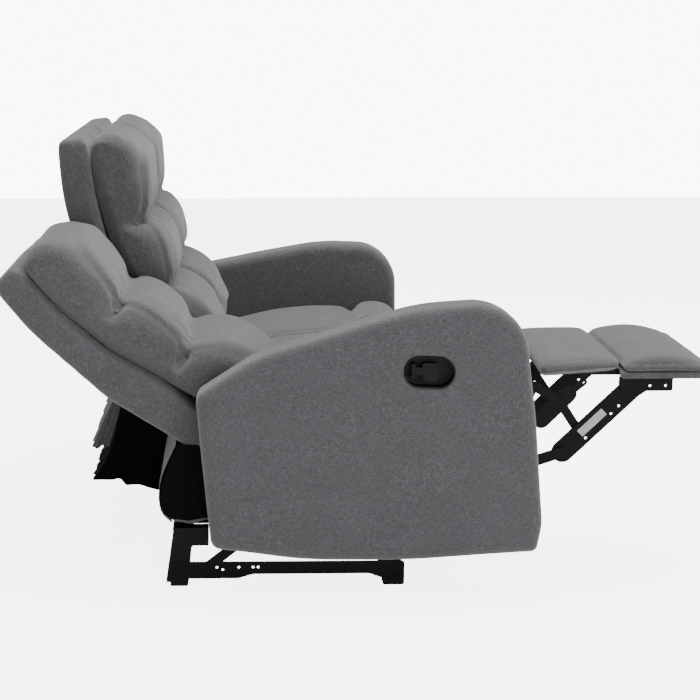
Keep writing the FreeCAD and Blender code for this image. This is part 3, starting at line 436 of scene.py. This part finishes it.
pillow_form = padded_form("pillow_form", merged("middle_back_pillow"), pillow_room, voxel=0.008)
shell_front = [(0.421, -0.514), (0.468, -0.502), (0.576, -0.526), (0.652, -0.556), (0.742, -0.601),
               (0.812, -0.621), (0.885, -0.636), (0.950, -0.646), (1.040, -0.653)]
pillow_points = points_of(pillow_form)
behind = np.interp(pillow_points[:, 2], [z for z, x in shell_front], [x for z, x in shell_front])
out = np.clip(np.abs(pillow_points[:, 1]) / 0.252, 0, 1)
# the pillow thins towards its two sides
pillow_points[:, 0] = behind + (pillow_points[:, 0] - behind) * (1 - 0.10 * out ** 3 - 0.10 * out ** 8)
set_points(pillow_form, pillow_points)
pull_in(pillow_form, [(-0.506, 0.818, -0.94, -0.34), (-0.457, 0.634, -0.88, -0.47)], 0.026, 0.012, 0.252, 3)
uneven(pillow_form, 0.0035, 0.09, 1)
keep_cloth(pillow_form)
for seat_name, seat_y in seats.items():
    set_down(pillow_form, seat_name + "_pillow", seat_y, open_back if seat_name == "near" else None,
             "base" if seat_name == "middle" else seat_name + "_back", seat_name + "_back_pillow")
bpy.data.objects.remove(pillow_form)


# Seat cushions: a long seat and a rounded front roll with a sewn crease between them
def cushion_room(normal):
    if abs(normal.y) > 0.75:
        return 0.001
    return 0.006 if normal.z > 0.2 or normal.x > 0.5 else -0.0005


cushion_form = padded_form("cushion_form", merged("middle_seat_cushion"), cushion_room, shrink=0.003,
                           most=0.008)
pull_in(cushion_form, [(0.0835, 0.4215, 0.1, -0.995)], 0.010, 0.008, 0.252, 11)
uneven(cushion_form, 0.003, 0.10, 2)
keep_cloth(cushion_form)
for seat_name, seat_y in seats.items():
    set_down(cushion_form, seat_name + "_cushion", seat_y, open_seat if seat_name == "near" else None,
             "base" if seat_name == "middle" else seat_name + "_seat", seat_name + "_seat_cushion")
bpy.data.objects.remove(cushion_form)


# Back shells: a covered frame, slightly crowned behind
def shell_room(normal):
    return 0.003 if normal.x < -0.4 else 0.0


shell_form = padded_form("shell_form", merged("middle_back_shell"), shell_room, voxel=0.012, shrink=0.002, most=0.004)
keep_cloth(shell_form)
for seat_name, seat_y in seats.items():
    set_down(shell_form, seat_name + "_shell", seat_y, open_back if seat_name == "near" else None,
             "base" if seat_name == "middle" else seat_name + "_back", seat_name + "_back_shell")
bpy.data.objects.remove(shell_form)


# Footrest pads, and the same two pads on the fixed front panel of the middle seat
def pad_room(normal):
    return 0.005 if normal.x > 0.2 else 0.0005


inner_pad = joined(merged("far_footrest_inner_pad"), merged("far_footrest_boards", low=0.245))
for pad_name, pad_solid in (("footrest_inner_pad", inner_pad),
                            ("footrest_outer_pad", merged("far_footrest_outer_pad"))):
    pad_form = padded_form(pad_name + "_form", pad_solid, pad_room, voxel=0.007, shrink=0.0015, most=0.004)
    uneven(pad_form, 0.002, 0.08, 4)
    if pad_name == "footrest_outer_pad":
        # a sewn line parts the boxing of the sides from the top of the pad
        pad_points, pad_normals = points_of(pad_form), normals_of(pad_form)
        line = np.exp(-((pad_points[:, 0] - 0.275) / 0.004) ** 2) * (1 - np.clip(pad_normals[:, 0], 0, 1))
        set_points(pad_form, pad_points - pad_normals * (0.004 * line)[:, None])
    pad_form.data.transform(Matrix.Translation((0, -0.52, 0)))
    keep_cloth(pad_form)
    for seat_name, seat_y in seats.items():
        set_down(pad_form, seat_name + "_" + pad_name, seat_y, open_footrest if seat_name == "near" else None,
                 "base" if seat_name == "middle" else seat_name + "_footrest",
                 "middle_front_panel" if seat_name == "middle" else seat_name + "_" + pad_name)
    bpy.data.objects.remove(pad_form)


# Outer footrest boards, covered with the same cloth drawn tight
for seat_name, seat_y in seats.items():
    board_node = "far_footrest_boards" if seat_name != "near" else "near_footrest_boards"
    board = new_piece(seat_name + "_boards", merged("far_footrest_boards", high=0.245))
    keep_cloth(board, 0.52)
    board.data.transform(Matrix.Translation((0, seat_y - 0.52, 0)))
    if seat_name == "near":
        board.data.transform(open_footrest)
    rounding = board.modifiers.new("rounding", "BEVEL")
    rounding.width, rounding.segments = 0.0015, 2
    with_modifiers(board)
    board.data.materials.append(upholstery)
    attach(board, "base" if seat_name == "middle" else seat_name + "_footrest")
    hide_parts("middle_front_panel" if seat_name == "middle" else board_node)


# Arms: padded panels with a soft rounded border, flat round the handle
for seat_name, side in (("near", -1), ("far", 1)):
    solid = merged(seat_name + "_arm")
    arm = new_piece(seat_name + "_padded_arm", solid)
    remesh = arm.modifiers.new("remesh", "REMESH")
    remesh.mode = "VOXEL"
    remesh.voxel_size = 0.004
    with_modifiers(arm)
    eased(arm, 5)
    uneven(arm, 0.0015, 0.13, 6)
    if seat_name == "near":
        arm.data.transform(open_seat.inverted())
    keep_cloth(arm, side * 0.52)
    if seat_name == "near":
        arm.data.transform(open_seat)
    arm.data.materials.clear()
    arm.data.materials.append(upholstery)
    for face in arm.data.polygons:
        face.use_smooth = True
    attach(arm, seat_name + "_seat")
    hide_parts(seat_name + "_arm")


# Rear curtains: a black lining stapled under each back and hanging in loose folds round the rear of the seat,
# and a grey flap of the cover's cloth behind it
fold_seed = 31


def curtain(name, path, edge_y, depth, flare, hem_steps, material, bound=False):
    # path runs down the rear in the side view; each row also turns forward at both sides of the seat; hem_steps
    # says how much lower the hem hangs at which distance forward; a bound hem has a grey binding
    rows = len(path)
    across = ([(-edge_y, depth * (20 - step) / 20) for step in range(20)]
              + [(-edge_y + 2 * edge_y * step / 49, 0.0) for step in range(50)]
              + [(edge_y, depth * step / 20) for step in range(1, 21)])
    points, faces = [], []
    for row, (x, z) in enumerate(path):
        share = row / (rows - 1)
        for column, (y, forward) in enumerate(across):
            fold = float(hashed_wave(np.array([column * 0.009 + y * 0.3]), fold_seed)[0]) * 0.006 * share
            hem = float(hashed_wave(np.array([column * 0.005 + 0.7]), fold_seed + 5)[0]) * 0.006 * share ** 3
            on_side = forward > 0 or abs(y) == edge_y
            lower = float(np.interp(forward, *hem_steps)) * share ** 2
            points.append((x + forward * (1 - flare + flare * share) + (0 if on_side else fold),
                           y * (1 - 0.01 * share) + (fold * 0.6 if on_side else 0), z + hem - lower))
    wide = len(across)
    for row in range(rows - 1):
        for column in range(wide - 1):
            corner = row * wide + column
            faces.append((corner, corner + wide, corner + wide + 1, corner + 1))
    mesh = bpy.data.meshes.new(name)
    mesh.from_pydata(points, [], faces)
    piece = new_piece(name, mesh)
    finer = piece.modifiers.new("finer", "SUBSURF")
    finer.levels = finer.render_levels = 1
    with_modifiers(piece)
    keep_cloth(piece)
    piece.data.materials.append(material)
    piece.data.materials.append(upholstery)
    binding_row = rows - 2 if bound else rows
    for index, face in enumerate(piece.data.polygons):
        face.use_smooth = True
        face.material_index = int(index // 4 // (wide - 1) >= binding_row)
    return piece


closed_path = [(-0.541, 0.392), (-0.566, 0.362), (-0.578, 0.326), (-0.588, 0.280), (-0.602, 0.225),
               (-0.622, 0.178), (-0.655, 0.132)]
closed_flap = [(-0.551, 0.394), (-0.584, 0.370), (-0.608, 0.330), (-0.630, 0.275), (-0.655, 0.222)]
open_path = [(-0.414, 0.345), (-0.434, 0.304), (-0.449, 0.268), (-0.456, 0.231), (-0.455, 0.198),
             (-0.447, 0.176), (-0.427, 0.163), (-0.425, 0.159)]
open_flap = [(x - 0.004, z) for x, z in open_path]
ragged = ((0.0, 0.035, 0.075, 0.083, 0.13, 0.19), (0.0, -0.002, -0.010, 0.014, 0.018, 0.034))
level = ((0.0, 0.13), (0.0, 0.0))
lining_edge, flap_edge = 0.2510, 0.2530
for seat_name, seat_y in seats.items():
    is_open = seat_name == "near"
    path, flap_path = (open_path, open_flap) if is_open else (closed_path, closed_flap)
    depth, flap_depth = (0.13, 0.002) if is_open else (0.19, 0.045)
    hanging = curtain(seat_name + "_lining", path, lining_edge, depth, 0.1, level if is_open else ragged,
                      black_lining, bound=is_open)
    flap = curtain(seat_name + "_flap", flap_path, flap_edge, flap_depth, 0.7, level, upholstery)
    pieces = [hanging, flap]
    for piece in pieces:
        piece.data.transform(Matrix.Translation((0, seat_y, 0)))
        if seat_name == "middle":
            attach(piece, "base")
        else:
            low, high = path[-1], path[0]
            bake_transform(piece, seat_name + "_seat", seat_name + "_back", start=(low[0], seat_y, low[1] + 0.02),
                     end=(high[0], seat_y, high[1] - 0.01))
    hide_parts(seat_name + "_rear_curtain")


# Floor and soft studio light
floor_mesh = bpy.data.meshes.new("floor")
floor_mesh.from_pydata([(-9, -9, 0), (9, -9, 0), (9, 9, 0), (-9, 9, 0)], [], [(0, 1, 2, 3)])
floor = new_piece("floor", floor_mesh)
pale, pale_tree, pale_shader = new_material("pale_floor", Roughness=0.9)
pale_shader.inputs["Base Color"].default_value = linear("#f4f4f4")
camera_only = add_node(pale_tree, "ShaderNodeLightPath").outputs["Is Camera Ray"]
pale_shader.inputs["Emission Color"].default_value = linear("#ffffff")
pale_tree.links.new(math_node(pale_tree, "MULTIPLY", camera_only, 5.0), pale_shader.inputs["Emission Strength"])
floor.data.materials.append(pale)

# the sky looks white to the camera and lights the sofa more weakly
world = bpy.data.worlds.new("studio")
scene.world = world
world.use_nodes = True
sky = world.node_tree.nodes["Background"]
sky.inputs["Color"].default_value = linear("#ffffff")
seen = add_node(world.node_tree, "ShaderNodeLightPath").outputs["Is Camera Ray"]
strength = math_node(world.node_tree, "ADD", math_node(world.node_tree, "MULTIPLY", seen, 9.0), 0.45)
world.node_tree.links.new(strength, sky.inputs["Strength"])


def soft_light(name, spot, target, wide, power):
    lamp = bpy.data.lights.new(name, "AREA")
    lamp.shape = "RECTANGLE"
    lamp.size, lamp.size_y = wide
    lamp.energy = power
    holder = bpy.data.objects.new(name, lamp)
    holder.location = spot
    holder.rotation_euler = (Vector(target) - Vector(spot)).to_track_quat("-Z", "Y").to_euler()
    scene.collection.objects.link(holder)


soft_light("top", (0.5, 0.2, 4.2), (0.0, 0.1, 0.3), (4.5, 4.5), 400.0)
soft_light("side", (0.6, -4.6, 0.75), (0.0, -0.9, 0.45), (3.2, 0.9), 75.0)


# Camera: a long lens in front of the near arm, turned a little to the right and down
eye = bpy.data.cameras.new("camera")
eye.sensor_width = 36.0
eye.lens = 97.2
eye.shift_x = 0.09
camera = bpy.data.objects.new("camera", eye)
camera.location = (-0.270, -5.1, 1.333)
camera.rotation_euler = (math.radians(80.0), 0.0, math.radians(-1.5))
scene.collection.objects.link(camera)
scene.camera = camera
